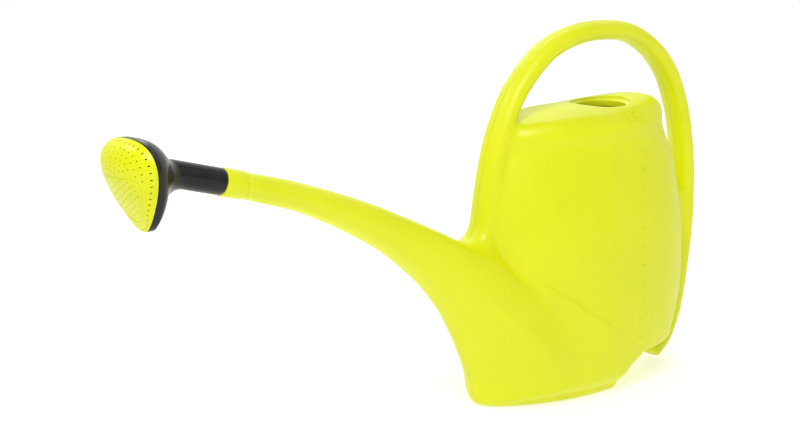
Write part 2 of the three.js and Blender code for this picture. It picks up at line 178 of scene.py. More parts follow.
def signed_volume(points, faces):
    """Sum over the faces' fans of the tetrahedra that they make with the origin."""
    total = 0.0
    for k in range(1, faces.shape[1] - 1):
        a, b, c = points[faces[:, 0]], points[faces[:, k]], points[faces[:, k + 1]]
        total += np.einsum("ij,ij->", a, np.cross(b, c)) / 6
    return total


def make_piece(name, points, faces, finish, body):
    """A smooth-shaded mesh from points in millimetres and faces of one corner count, turned outwards."""
    points = np.asarray(points, float).reshape(-1, 3)
    faces = np.asarray(faces)
    if signed_volume(points, faces) < 0:
        faces = faces[:, ::-1]
    corners = faces.shape[1]
    mesh = bpy.data.meshes.new(name)
    mesh.vertices.add(len(points))
    mesh.vertices.foreach_set("co", (points * MM).ravel().astype(np.float32))
    mesh.loops.add(faces.size)
    mesh.loops.foreach_set("vertex_index", faces.ravel().astype(np.int32))
    mesh.polygons.add(len(faces))
    mesh.polygons.foreach_set("loop_start", np.arange(0, faces.size, corners, dtype=np.int32))
    mesh.update(calc_edges=True)
    mesh.shade_smooth()
    piece = bpy.data.objects.new(name, mesh)
    bpy.context.scene.collection.objects.link(piece)
    return dress(piece, finish, body)


def dress(piece, finish, body):
    piece.data.materials.clear()
    piece.data.materials.append(finish)
    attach(piece, body)
    return piece


# ---------------------------------------------------------------- the moulding's solids
def tank_outline(share, inset, lift, count=220):
    """A plan outline of the tank: superellipse between the front and rear ends, set on its slanted level."""
    at = np.interp(share, TANK_SHARE, np.linspace(0, 1, len(TANK_SHARE)))
    front, rear, width = (smooth(v, np.asarray(at)) for v in (TANK_FRONT, TANK_REAR, TANK_HALF_WIDTH))
    c, s = superellipse(count, np.asarray(TANK_SQUARENESS[0]), np.asarray(TANK_SQUARENESS[1]))
    x = (front + rear) / 2 + np.maximum((rear - front) / 2 - inset, 0) * c
    y = np.maximum(width - inset, 0) * s
    slant = np.clip((share - SLANT_START) / (1 - SLANT_START), 0, 1)
    slant = slant * slant * (3 - 2 * slant)
    z = share * (TANK_HEIGHT - SHOULDER_RADIUS) + lift + slant * (top_line(x) - TANK_HEIGHT - crown(y))
    return np.stack([x, y, z], -1)


def top_line(x):
    """Height of the top's middle line: it falls to the front by a square, and rises to the rear by a
    power of 1.5."""
    u = np.clip((x - TANK_FRONT[-1]) / (TANK_REAR[-1] - TANK_FRONT[-1]), 0, 1)
    fall = TOP_RISE_FRONT * np.maximum(1 - 2 * u, 0) ** 2
    return TANK_HEIGHT + fall + TOP_RISE_REAR * np.maximum(2 * u - 1, 0) ** 1.5


def crown(y):
    """How far the top lies below its middle line: a parabola across it."""
    return TOP_CROWN * (y / TANK_HALF_WIDTH[-1]) ** 2


def tank_grid():
    rows = [tank_outline(0, inset, 0) for inset in (90, 60, 30)]
    for t in np.linspace(0, np.pi / 2, 6):
        rows.append(tank_outline(0, FOOT_RADIUS * (1 - np.sin(t)), FOOT_RADIUS * (1 - np.cos(t))))
    for share in np.linspace(0.05, 1, 90)[1:-1]:
        rows.append(tank_outline(share, 0, 0))
    for t in np.linspace(0, np.pi / 2, 10):
        rows.append(tank_outline(1, SHOULDER_RADIUS * (1 - np.cos(t)), SHOULDER_RADIUS * np.sin(t)))
    for inset in np.linspace(SHOULDER_RADIUS, TANK_HALF_WIDTH[-1] + 1, 16)[1:]:
        rows.append(tank_outline(1, inset, SHOULDER_RADIUS))
    return close_ends(np.array(rows))


def spout_grid():
    """Sections between the keel and the ridge: each a superellipse as high as they are apart."""
    t = np.linspace(0, 1, 160)
    keel, ridge = smooth(KEEL, t), smooth(RIDGE, t)
    half = np.linalg.norm(ridge - keel, axis=1) / 2
    up = (ridge - keel) / (2 * half[:, None])
    c, s = superellipse(160, smooth(RIDGE_SQUARENESS, t), smooth(KEEL_SQUARENESS, t))
    along = up[:, None, :] * (half[:, None] * c)[..., None]
    middle = np.broadcast_to(((keel + ridge) / 2)[:, None, :], along.shape)
    return close_ends(in_plane(middle, along, smooth(SPOUT_HALF_WIDTH, t)[:, None] * s))


def handle_grid():
    """An oval carried along the loop and the rear spine."""
    path, way = even_path(HANDLE_PATH, 420)
    n = np.full(len(path), HANDLE_SQUARENESS)
    c, s = superellipse(72, n, n)
    up = np.stack([-way[:, 1], way[:, 0]], 1)
    along = up[:, None, :] * (HANDLE_THICKNESS / 2 * c)[..., None]
    middle = np.broadcast_to(path[:, None, :], along.shape)
    return close_ends(in_plane(middle, along, HANDLE_WIDTH / 2 * s))


def web_grid():
    """The web from the spine to the tank: a straight strip between two paths, as thick as the web is wide."""
    outer, _ = even_path(HANDLE_PATH[SPINE_START:], 60)
    inner, _ = even_path(WEB_PATH, 60)
    corners = [(outer, 1), (outer, -1), (inner, -1), (inner, 1)]
    points = [np.stack([p[:, 0], np.full(60, side * WEB_WIDTH / 2), p[:, 1]], -1) for p, side in corners]
    return close_ends(np.stack(points, 1))


def notch_grid(half_width=140.0, far=420.0, under=60.0):
    """What the finger notch takes away: a quarter of an oval that ends in a flat ceiling, right across."""
    t = np.linspace(0, np.pi / 2, 24)
    curve = np.stack([NOTCH_START + NOTCH_RAMP * (1 - np.cos(t)), NOTCH_HEIGHT * np.sin(t)], 1)
    rim = np.concatenate([[[NOTCH_START, -under]], curve, [[far, NOTCH_HEIGHT], [far, -under]]])
    rows = [np.stack([rim[:, 0], np.full(len(rim), y), rim[:, 1]], -1) for y in (-half_width, half_width)]
    return close_ends(np.array(rows))


def crease(x, y, z):
    """The step where the spout's ridge runs on over the tank's side: proud below the ridge line and sunk
    above it, each dying away exponentially with the distance from the line."""
    line_x, line_z = np.array(RIDGE[CREASE_START:]).T
    under = (np.interp(np.clip(x, line_x[0], line_x[-1]), line_x, line_z) - z) * CREASE_COSINE
    proud = CREASE_PROUD * np.exp(-np.maximum(under, 0) / CREASE_UNDER)
    sunk = -CREASE_SUNK * np.exp(-np.maximum(-under, 0) / CREASE_OVER)
    step = np.where(under > 0, proud, sunk)
    ends = np.clip((x + 75) / 30, 0, 1) * np.clip((130 - x) / 20, 0, 1)
    return (step * ends * np.clip((np.abs(y) - 25) / 15, 0, 1)).astype(np.float32)


def close_ends(grid):
    """Adds a first and a last row that lie in the middle of the end rings."""
    ends = [np.broadcast_to(grid[k].mean(0), grid[k].shape) for k in (0, -1)]
    return np.concatenate([ends[0][None], grid, ends[1][None]])


def mouth_edge(points):
    """How far points lie inside the cylinder round the mouth, and the points moved on to that cylinder."""
    away = points - np.array([MOUTH_X, 0, 0])
    r = np.maximum(np.hypot(away[:, 0], away[:, 1]), 1e-6)
    depth = np.where(np.abs(points[:, 2] - TANK_HEIGHT) < MOUTH_REACH, MOUTH_CUT - r, -99.0)
    on = points + away * (MOUTH_CUT / r - 1)[:, None] * np.array([1, 1, 0])
    return depth, on, np.arctan2(away[:, 1], away[:, 0])


def spout_edge(points):
    """How far points lie past the plane near the spout's end, and the points moved back on to that plane."""
    away = points - NOSE_START
    depth = away @ NOSE_WAY - SPOUT_CUT
    return depth, points - NOSE_WAY * depth[:, None], np.arctan2(away @ NOSE_UP, away[:, 1])


def open_up(points, faces, edge):
    """Drops the faces inside an edge and moves the new rim on to it. Returns the points, the faces, and
    the rim's points in turn order with their angles."""
    depth, on, turn = edge(points)
    keep = depth[faces].mean(1) < 0
    left = faces[keep]
    sides = np.concatenate([left[:, [k, (k + 1) % left.shape[1]]] for k in range(left.shape[1])])
    codes = sides.min(1) * len(points) + sides.max(1)
    _, first, uses = np.unique(codes, return_index=True, return_counts=True)
    rim = np.unique(sides[first[uses == 1]])
    rim = rim[np.abs(depth[rim]) < 3 * RIM_REACH]
    points = points.copy()
    points[rim] = on[rim]
    return points, left, rim[np.argsort(turn[rim])], np.sort(turn[rim])


def join_walls(outside, inside, edges):
    """One closed surface of an outer and an inner skin, with a strip of triangles round each opening."""
    points = [outside[0], inside[0]]
    faces = [outside[1], inside[1]]
    strips = []
    for edge in edges:
        rims = []
        for k in (0, 1):
            points[k], faces[k], rim, turn = open_up(points[k], faces[k], edge)
            rims.append((rim, turn))
        strips.append(zip_rims(*rims[0], rims[1][0] + len(points[0]), rims[1][1]))
    quads = np.concatenate([faces[0], faces[1] + len(points[0])])
    halves = np.concatenate([quads[:, [0, 1, 2]], quads[:, [0, 2, 3]]])
    whole = np.concatenate(points)
    strips = [turn_to_match(strip, halves) for strip in strips]
    return whole, np.concatenate([halves] + strips)


def zip_rims(rim_a, turn_a, rim_b, turn_b):
    """Triangles between two rims, in the order of their points' angles: each point starts one triangle."""
    marks = np.concatenate([turn_a, turn_b])
    first = np.concatenate([np.ones(len(rim_a), bool), np.zeros(len(rim_b), bool)])
    order = np.argsort(marks, kind="stable")
    steps_a = np.cumsum(first[order])
    steps_b = np.cumsum(~first[order])
    a_now, b_now = (steps_a - 1) % len(rim_a), (steps_b - 1) % len(rim_b)
    on_a = first[order]
    before_a, before_b = (a_now - 1) % len(rim_a), (b_now - 1) % len(rim_b)
    return np.where(on_a[:, None],
                    np.stack([rim_a[before_a], rim_a[a_now], rim_b[b_now]], 1),
                    np.stack([rim_b[b_now], rim_b[before_b], rim_a[a_now]], 1))


def turn_to_match(strip, faces):
    """Turns a strip round if its sides run the same way as the sides of the faces that it meets."""
    def sides(f):
        return np.concatenate([f[:, [k, (k + 1) % 3]] for k in range(3)])
    base = int(max(faces.max(), strip.max())) + 1
    same = np.isin(sides(strip) @ np.array([base, 1]), sides(faces) @ np.array([base, 1])).sum()
    other = np.isin(sides(strip) @ np.array([1, base]), sides(faces) @ np.array([base, 1])).sum()
    return strip[:, ::-1] if same > other else strip


class Voxels:
    """Signed distances on a regular grid that holds the whole moulding, and the sums made of them."""

    def __init__(self, step, band):
        self.step = step
        self.band = band
        self.low = np.floor(np.array([-462, -112, -24]) / step).astype(int)
        self.high = np.ceil(np.array([296, 112, 470]) / step).astype(int)
        self.shape = tuple(self.high - self.low + 1)
        self.transform = openvdb.createLinearTransform(voxelSize=step)

    def distance(self, grid):
        """Distance to a closed grid surface, negative inside, cut off at the band's width."""
        faces = grid_faces(grid.shape[0], grid.shape[1]).astype(np.uint32)
        solid = openvdb.FloatGrid.createLevelSetFromPolygons(
            grid.reshape(-1, 3).astype(np.float32), quads=faces, transform=self.transform,
            halfWidth=self.band / self.step)
        field = np.empty(self.shape, np.float32)
        solid.copyToArray(field, ijk=tuple(int(v) for v in self.low))
        return field

    def places(self):
        axes = [np.arange(a, b + 1, dtype=np.float32) * self.step for a, b in zip(self.low, self.high)]
        return np.meshgrid(*axes, indexing="ij", sparse=True)

    def surface(self, field):
        """Quads of the zero surface, their points moved on to it along the field's slope."""
        solid = openvdb.FloatGrid(float(self.band))
        solid.transform = self.transform
        solid.copyFromArray(np.ascontiguousarray(field), ijk=tuple(int(v) for v in self.low))
        points, quads = solid.convertToQuads(isovalue=0.0)
        points = points.astype(float)
        for _ in range(3):
            value = self.read(field, points)
            slope = np.stack([self.read(field, points + d) - self.read(field, points - d)
                              for d in np.eye(3) * self.step / 2], 1) / self.step
            points = points - slope * (value / np.maximum((slope ** 2).sum(1), 0.05))[:, None]
        return points, quads.astype(np.int64)

    def read(self, field, points):
        """Trilinear value of the field at points in millimetres."""
        at = points / self.step - self.low
        base = np.clip(np.floor(at).astype(int), 0, np.array(self.shape) - 2)
        f = at - base
        total = np.zeros(len(points))
        for i in (0, 1):
            for j in (0, 1):
                for k in (0, 1):
                    w = np.abs(1 - i - f[:, 0]) * np.abs(1 - j - f[:, 1]) * np.abs(1 - k - f[:, 2])
                    total += w * field[base[:, 0] + i, base[:, 1] + j, base[:, 2] + k]
        return total


def soft_join(a, b, round_off):
    """Union of two distance fields with a fillet: min(a, b) less a parabola where they are close."""
    h = np.maximum(round_off - np.abs(a - b), 0) / round_off
    return np.minimum(a, b) - h * h * round_off / 4


def soft_cut(a, b, round_off):
    """What is left of `a` outside `b`, with its new edges rounded."""
    return -soft_join(-a, b, round_off)


def relax(points, faces, rounds, share=0.5):
    """Moves each point part of the way to the mean of its neighbours, out and back again (Taubin)."""
    edges = np.concatenate([faces[:, [k, (k + 1) % faces.shape[1]]] for k in range(faces.shape[1])])
    ends = np.concatenate([edges, edges[:, ::-1]])
    count = np.bincount(ends[:, 0], minlength=len(points))[:, None]
    for r in range(2 * rounds):
        sums = [np.bincount(ends[:, 0], points[ends[:, 1], i], len(points)) for i in range(3)]
        mean = np.stack(sums, 1) / count
        points = points + (share if r % 2 == 0 else -share * 1.04) * (mean - points)
    return points


# ---------------------------------------------------------------- finishes
def linear(hex_colour):
    """An sRGB hex colour as linear red, green, blue and 1."""
    v = np.array([int(hex_colour[i:i + 2], 16) for i in (1, 3, 5)]) / 255
    v = np.where(v <= 0.04045, v / 12.92, ((v + 0.055) / 1.055) ** 2.4)
    return (*v, 1.0)


def node(tree, kind, settings=None, **links):
    """Adds a node, sets its attributes and input values, and links the inputs that are given sockets."""
    made = tree.nodes.new(kind)
    for key, value in (settings or {}).items():
        if key.startswith("in:"):
            made.inputs[key[3:]].default_value = value
        else:
            setattr(made, key, value)
    for key, socket in links.items():
        name = int(key[1:]) if key[1:].isdigit() else key.replace("_", " ")
        tree.links.new(socket, made.inputs[name])
    return made


def new_finish(name):
    material = bpy.data.materials.get(name) or bpy.data.materials.new(name)
    material.use_nodes = True
    tree = material.node_tree
    tree.nodes.clear()
    place = node(tree, "ShaderNodeTexCoord").outputs["Object"]
    shader = node(tree, "ShaderNodeBsdfPrincipled")
    tree.links.new(shader.outputs[0], node(tree, "ShaderNodeOutputMaterial").inputs[0])
    return material, tree, place, shader


def noise(tree, place, size_mm, detail=2.0, roughness=0.5):
    """Noise whose lumps are about `size_mm` across."""
    settings = {"in:Scale": 1 / (size_mm * MM), "in:Detail": detail, "in:Roughness": roughness}
    return node(tree, "ShaderNodeTexNoise", settings, Vector=place).outputs[0]


def ramp(tree, value, stops):
    """A colour or value ramp through (position, colour) stops."""
    made = node(tree, "ShaderNodeValToRGB", None, Fac=value)
    for i, (position, colour) in enumerate(stops):
        element = made.color_ramp.elements[i] if i < 2 else made.color_ramp.elements.new(position)
        element.position = position
        element.color = colour
    return made.outputs[0]


def grey(v):
    return (v, v, v, 1.0)


def spread(tree, value, low, high, to_low, to_high):
    """Maps a value from one range to another."""
    settings = {"in:From Min": low, "in:From Max": high, "in:To Min": to_low, "in:To Max": to_high}
    return node(tree, "ShaderNodeMapRange", settings, Value=value).outputs[0]


def bump(tree, height, distance_mm, strength, before=None):
    settings = {"in:Distance": distance_mm * MM, "in:Strength": strength}
    made = node(tree, "ShaderNodeBump", settings, Height=height)
    if before is not None:
        tree.links.new(before, made.inputs["Normal"])
    return made.outputs[0]


def lime_hdpe(look):
    """Blow-moulded HDPE: waxy and a little translucent, so edges glow softly. The mould's orange peel and
    the wall's broad waves break up the highlights, and the parting line runs round the middle plane."""
    material, tree, place, shader = new_finish("blow_moulded_hdpe_lime")
    body, deep = look.lime, [c * k for c, k in zip(look.lime[:3], (0.93, 0.95, 0.75))] + [1.0]
    cloud = noise(tree, place, 95, 3.0)
    colour = ramp(tree, cloud, [(0.3, tuple(deep)), (0.7, tuple(body))])
    speck = spread(tree, noise(tree, place, 1.6, 2.0), 0.3, 0.7, 0.975, 1.02)
    mixed = node(tree, "ShaderNodeMix", {"data_type": "RGBA", "blend_type": "MULTIPLY", "in:Factor": 1.0})
    tree.links.new(colour, mixed.inputs[6])
    tree.links.new(speck, mixed.inputs[7])
    tree.links.new(mixed.outputs[2], shader.inputs["Base Color"])
    scuff = noise(tree, place, 38, 4.0, 0.6)
    tree.links.new(spread(tree, scuff, 0.3, 0.7, look.lime_roughness - 0.05, look.lime_roughness + 0.07),
                   shader.inputs["Roughness"])
    y = node(tree, "ShaderNodeSeparateXYZ", None, _0=place).outputs[1]
    away = node(tree, "ShaderNodeMath", {"operation": "ABSOLUTE"}, _0=y).outputs[0]
    line = spread(tree, away, 0.0003, 0.0014, 1.0, 0.0)
    peel = bump(tree, noise(tree, place, 2.2, 2.0), 0.05, 0.35)
    waves = bump(tree, noise(tree, place, 60, 1.0), 0.6, 0.25, peel)
    tree.links.new(bump(tree, line, 0.5, 1.0, waves), shader.inputs["Normal"])
    shader.inputs["IOR"].default_value = 1.5
    shader.inputs["Specular IOR Level"].default_value = 0.4
    shader.inputs["Subsurface Weight"].default_value = 0.12
    shader.inputs["Subsurface Radius"].default_value = (0.004, 0.004, 0.0008)
    shader.inputs["Subsurface Scale"].default_value = 1.0
    return material


def lime_pp(look):
    """Injection-moulded PP in the same lime: smoother than the blown body, so its highlights are crisper."""
    material, tree, place, shader = new_finish("injection_moulded_pp_lime")
    body, deep = look.lime, [c * k for c, k in zip(look.lime[:3], (0.95, 0.96, 0.8))] + [1.0]
    colour = ramp(tree, noise(tree, place, 30, 3.0), [(0.3, tuple(deep)), (0.7, tuple(body))])
    tree.links.new(colour, shader.inputs["Base Color"])
    rough = spread(tree, noise(tree, place, 12, 3.0), 0.3, 0.7, 0.26, 0.36)
    tree.links.new(rough, shader.inputs["Roughness"])
    tree.links.new(bump(tree, noise(tree, place, 1.1, 2.0), 0.02, 0.3), shader.inputs["Normal"])
    shader.inputs["IOR"].default_value = 1.49
    shader.inputs["Specular IOR Level"].default_value = 0.3
    shader.inputs["Subsurface Weight"].default_value = 0.08
    shader.inputs["Subsurface Radius"].default_value = (0.003, 0.003, 0.0006)
    shader.inputs["Subsurface Scale"].default_value = 1.0
    return material


def black_pp(look):
    """Injection-moulded PP in black: glossy, so it mirrors the studio, with faint flow streaks and rubbed
    spots that keep the mirror from looking perfect."""
    material, tree, place, shader = new_finish("injection_moulded_pp_black")
    lighter = [min(1.0, c * 1.9 + 0.004) for c in look.black[:3]] + [1.0]
    colour = ramp(tree, noise(tree, place, 24, 4.0, 0.6), [(0.35, tuple(look.black)), (0.75, tuple(lighter))])
    tree.links.new(colour, shader.inputs["Base Color"])
    streaks = node(tree, "ShaderNodeMapping", {"in:Scale": (0.25, 1.0, 1.0)}, Vector=place).outputs[0]
    rough = spread(tree, noise(tree, streaks, 9, 4.0, 0.6), 0.3, 0.75, look.black_roughness - 0.05,
                   look.black_roughness + 0.1)
    tree.links.new(rough, shader.inputs["Roughness"])
    tree.links.new(bump(tree, noise(tree, place, 1.4, 2.0), 0.02, 0.25), shader.inputs["Normal"])
    shader.inputs["IOR"].default_value = 1.5
    shader.inputs["Specular IOR Level"].default_value = 0.22
    return material


# ---------------------------------------------------------------- settings
def length(name, description, default):
    """A size in millimetres."""
    return FloatProperty(name=name, description=description + ", mm", default=default, min=0)


def tint(name, description, hex_colour):
    """A colour, stored as linear values from its sRGB hex."""
    return FloatVectorProperty(name=name, description=description, subtype="COLOR", size=4, min=0, max=1,
                               default=linear(hex_colour))


def gloss(name, description, default):
    """A roughness from 0, a mirror, to 1, fully matt."""
    return FloatProperty(name=name, description=description, default=default, subtype="FACTOR", min=0, max=1)


class CanSizes(bpy.types.PropertyGroup):
    skin_step: length("Skin step", "Spacing of the body skin's points", 2.75)
    lining_step: length("Lining step", "Spacing of the inner skin's points", 5.0)
    wall: length("Wall", "Thickness of the moulded wall", 2.4)
    tank_fillet: length("Tank fillet", "Rounding where spout and tank meet", 5.0)
    loop_fillet: length("Loop fillet", "Rounding where the loop meets the tank", 9.0)
    horn_fillet: length("Horn fillet", "Rounding between front leg and spout", 40.0)
    saddle_fillet: length("Saddle fillet", "Rounding in the rear saddle", 20.0)
    foot_fillet: length("Foot fillet", "Extra rounding round the foot", 14.0)
    mouth_radius: length("Mouth radius", "Radius of the filling mouth", 31.0)
    mouth_rim_radius: length("Mouth rim radius", "Radius of its recess", 36.5)
    tick_spacing: length("Tick spacing", "Height of one litre on the scale", 22.7)
    tick_count: IntProperty(name="Ticks", description="Number of ticks on the litre scale", default=11, min=1)
    scale_text: StringProperty(name="Scale figure", description="Figure over the scale", default="13.5 l")
    hole_radius: length("Hole radius", "Radius of a hole in the rose's face", 0.75)
    hole_pitch: length("Hole pitch", "Distance between holes", 6.2)
    face_wall: length("Face wall", "Thickness of the rose's face", 1.2)


class CanLooks(bpy.types.PropertyGroup):
    lime: tint("Lime", "Colour of the body and the face", "#e2e60a")
    black: tint("Black", "Colour of the rose's shell", "#151313")
    floor: tint("Floor", "Colour of the floor", "#d2d2d0")
    lime_roughness: gloss("Lime roughness", "Roughness of the body", 0.4)
    black_roughness: gloss("Black roughness", "Roughness of the rose's shell", 0.2)


def sizes():
    return bpy.context.scene.can_sizes


def looks():
    return bpy.context.scene.can_looks


def can_piece(name, points, faces):
    """A piece of the blow moulding."""
    return make_piece(name, points, faces, lime_hdpe(looks()), "can")


# ---------------------------------------------------------------- operators
class CAN_OT_skin(bpy.types.Operator):
    """Tank, spout, loop handle and spine as one hollow skin: distance fields joined with fillets"""

    bl_idname = "can.skin"
    bl_label = "Body skin"

    def execute(self, context):
        s = sizes()
        voxels = Voxels(s.skin_step, 42.0)
        tank, spout, handle, web, notch = (
            voxels.distance(g()) for g in (tank_grid, spout_grid, handle_grid, web_grid, notch_grid))
        x, y, z = voxels.places()
        # The spout's foot and the tank's run into one rounded edge round the flat foot.
        low = s.foot_fillet * np.clip((45 - z) / 30, 0, 1)
        vessel = soft_cut(soft_join(tank, spout, s.tank_fillet + low), notch, 7.0)
        spine = soft_join(handle, web, 6.0)
        # The loop's fillet is wider in the saddle at the rear, and where the front leg stands on the spout.
        rear = np.clip((x - 195) / 15, 0, 1) * np.clip((z - 110) / 40, 0, 1) * np.clip((265 - z) / 30, 0, 1)
        body = soft_join(vessel, spine, s.loop_fillet + (s.saddle_fillet - s.loop_fillet) * rear)
        body = np.minimum(body, soft_join(spout, handle, s.horn_fillet))
        body = np.maximum(body - crease(x, y, z), 0.2 - z)
        outside = voxels.surface(body.astype(np.float32))
        outside = relax(*outside, 2), outside[1]
        coarse = Voxels(s.lining_step, 30.0)
        hollow = soft_join(coarse.distance(tank_grid()), coarse.distance(spout_grid()), s.tank_fillet)
        hollow = soft_cut(hollow, coarse.distance(notch_grid()), 7.0) + s.wall
        inside = coarse.surface(hollow.astype(np.float32))
        inside = inside[0], inside[1][:, ::-1]
        points, faces = join_walls(outside, inside, [mouth_edge, spout_edge])
        skin = can_piece("can_skin", points, faces)
        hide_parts("tank", "spout", "handle")
        return {"FINISHED"}


class CAN_OT_mouth(bpy.types.Operator):
    """Filling mouth: a rounded recess and a collar, a profile carried round the mouth's axis on the top"""

    bl_idname = "can.mouth"
    bl_label = "Filling mouth"

    def execute(self, context):
        s = sizes()
        rim, bore = s.mouth_rim_radius, s.mouth_radius
        turn = np.linspace(0, np.pi / 2, 6)
        lip = [(rim + 1.8 - 1.8 * np.sin(t), -1.8 + 1.8 * np.cos(t)) for t in turn]
        seat = [(bore + 1.6 - 1.6 * np.sin(t), -MOUTH_DEPTH - 1.6 + 1.6 * np.cos(t)) for t in turn]
        foot = [(bore + 1.2 + 1.2 * np.sin(t - np.pi / 2), -12.0 - 1.2 * np.cos(t - np.pi / 2)) for t in turn]
        apron = [(49.5, 0.05), (49.3, 0.1), (46, 0.12), (42, 0.12), (40, 0.12)]
        under = [(bore + s.wall + 0.6, -11.5), (bore + s.wall + 0.8, -8.0), (rim + s.wall, -6.0),
                 (rim + s.wall + 1, -2.6), (47, -2.2), (49.5, -0.4), (49.55, -0.1)]
        profile = apron + lip + [(rim - 0.4, -3.4)] + seat + foot + under
        r, d = np.array(profile).T
        t = np.linspace(0, TAU, 144, endpoint=False)
        x, y = MOUTH_X + r[:, None] * np.cos(t), r[:, None] * np.sin(t)
        slope = (top_line(MOUTH_X + 1.0) - top_line(MOUTH_X - 1.0)) / 2
        flat = top_line(np.array(MOUTH_X)) + slope * (x - MOUTH_X)
        on_top = np.clip((r - (bore + 2.5)) / (rim - bore - 1.0), 0, 1)[:, None]
        z = (1 - on_top) * flat + on_top * (top_line(x) - crown(y)) + d[:, None]
        points = np.stack([x, y, z], -1)
        can_piece("mouth_rim", points, grid_faces(len(profile), len(t), True))
        return {"FINISHED"}


class CAN_OT_nose(bpy.types.Operator):
    """Spout's end: straight tube, shoulder and thin nose, a profile turned round the nose's axis"""

    bl_idname = "can.nose"
    bl_label = "Spout nose"

    def execute(self, context):
        tube, nose = TUBE_RADIUS, NOSE_RADIUS
        end = TUBE_LENGTH + NOSE_LENGTH
        bore = nose - NOSE_WALL
        profile = [(-6, tube - 1), (-1.5, tube - 0.1), (0, tube), (12, tube),
                   (TUBE_LENGTH - 1.2, tube), (TUBE_LENGTH - 0.3, tube - 0.5), (TUBE_LENGTH, tube - 1.4),
                   (TUBE_LENGTH, nose + 0.6), (TUBE_LENGTH + 0.6, nose), (end - 1.2, nose),
                   (end - 0.3, nose - 0.4), (end, nose - 1.1), (end - 0.3, bore + 0.3), (end - 1, bore),
                   (10, bore), (-6, bore + 1)]
        at, r = np.array(profile).T
        t = np.linspace(0, TAU, 96, endpoint=False)
        along, across = r[:, None] * np.cos(t), r[:, None] * np.sin(t)
        ring = NOSE_UP * along[..., None] + Y_AXIS * across[..., None]
        points = NOSE_START + NOSE_WAY * at[:, None, None] + ring
        can_piece("spout_nose", points, grid_faces(len(profile), len(t), True))
        return {"FINISHED"}


class CAN_OT_scale(bpy.types.Operator):
    """Litre scale: raised ticks and a figure, laid on the tank's side"""

    bl_idname = "can.scale"
    bl_label = "Litre scale"

    def execute(self, context):
        s = sizes()
        skin = bpy.data.objects["can_skin"]
        corners = [v.co for v in skin.data.vertices]
        tree = BVHTree.FromPolygons(corners, [p.vertices for p in skin.data.polygons])

        def laid(x, z, proud):
            """Points on the side at (x, z), `proud` millimetres out of it."""
            out = []
            for px, pz, h in zip(x.ravel(), z.ravel(), proud.ravel()):
                hit, normal, _, _ = tree.ray_cast(Vector((px * MM, -0.2, pz * MM)), Vector((0, 1, 0)))
                out.append(hit + normal * h * MM)
            return np.array(out) / MM

        # A tick is a low pillow: height 0.6 mm x (1 - u^4) x (1 - v^4) over its length and breadth.
        u, v = np.meshgrid(np.linspace(-1, 1, 15), np.linspace(-1, 1, 9))
        for k in range(s.tick_count):
            z0 = 292.3 - k * s.tick_spacing
            x0 = 91 + 0.000675 * max(z0 - 150, 0) ** 2
            long = 4.6 if k % 5 else 6.4
            height = 1.1 * (1 - u ** 4) * (1 - v ** 4) - 0.25
            points = laid(x0 + u * long, z0 + v * 1.1, height)
            under = laid(x0 + u * long, z0 + v * 1.1, height * 0 - 0.8)
            self.pillow("litre_tick_%02d" % (k + 1), points, under, u.shape)
        self.figure(s, laid)
        return {"FINISHED"}

    def pillow(self, name, top, under, shape):
        """A closed slab: the top grid, the same grid underneath, and a wall round the edge."""
        rows, cols = shape
        ids = np.arange(rows * cols).reshape(shape)
        quads = np.stack([ids[:-1, :-1], ids[:-1, 1:], ids[1:, 1:], ids[1:, :-1]], -1).reshape(-1, 4)
        edge = np.concatenate([ids[0, :-1], ids[:-1, -1], ids[-1, :0:-1], ids[:0:-1, 0]])
        after = np.roll(edge, -1)
        wall = np.stack([after, edge, edge + rows * cols, after + rows * cols], -1)
        faces = np.concatenate([quads, quads[:, ::-1] + rows * cols, wall])
        can_piece(name, np.concatenate([top, under]), faces)

    def figure(self, s, laid):
        curve = bpy.data.curves.new("scale_figure", "FONT")
        curve.body = s.scale_text
        curve.size = 15 * MM
        curve.extrude = 0.8 * MM
        curve.bevel_depth = 0.15 * MM
        curve.align_x = "CENTER"
        made = bpy.data.objects.new("scale_figure", curve)
        bpy.context.scene.collection.objects.link(made)
        mesh = bpy.data.meshes.new_from_object(made.evaluated_get(bpy.context.evaluated_depsgraph_get()))
        bpy.data.objects.remove(made)
        co = np.array([p.co for p in mesh.vertices]) / MM
        points = laid(92 + co[:, 0], 326.5 + co[:, 1], co[:, 2] - 0.15)
        mesh.vertices.foreach_set("co", (points * MM).ravel())
        mesh.update()
        piece = bpy.data.objects.new("scale_figure", mesh)
        bpy.context.scene.collection.objects.link(piece)
        dress(piece, lime_hdpe(looks()), "can")


def egg(theta, forward, inset, share, roundness, radius):
    """Points of the rose's egg rings: an egg H cos, W |sin|^0.8 (1 + lean cos) in the face's plane that
    turns into a circle round the nose's axis as `roundness` goes from 0 to 1."""
    c, s = np.cos(theta), np.sin(theta)
    back = forward < 0
    share_back = np.minimum(1, -forward / BAND_DEPTH)
    lean = np.where(back, ROSE_LEAN + (BAND_LEAN - ROSE_LEAN) * share_back, ROSE_LEAN)
    way = np.where(back[..., None], np.array([-1.0, 0, 0]), FACE_WAY)
    centre = FACE_MIDDLE + way * forward[..., None] + FACE_UP * (BULGE_RISE * (1 - share))[..., None]
    axis = NOSE_START + NOSE_WAY * (ROSE_REACH + forward)[..., None]
    k = roundness[..., None]
    centre = centre * (1 - k) + axis * k
    up = FACE_UP * (1 - k) + NOSE_UP * k
    up = up / np.linalg.norm(up, axis=-1, keepdims=True)
    along = (ROSE_HALF_HEIGHT * share - inset) * c * (1 - roundness) + radius * c * roundness
    wide = (ROSE_HALF_WIDTH * share - inset) * signed_power(s, ROSE_BLUNTNESS) * (1 + lean * c)
    wide = wide * (1 - roundness) + radius * s * roundness
    return centre + up * along[..., None] + Y_AXIS * wide[..., None]


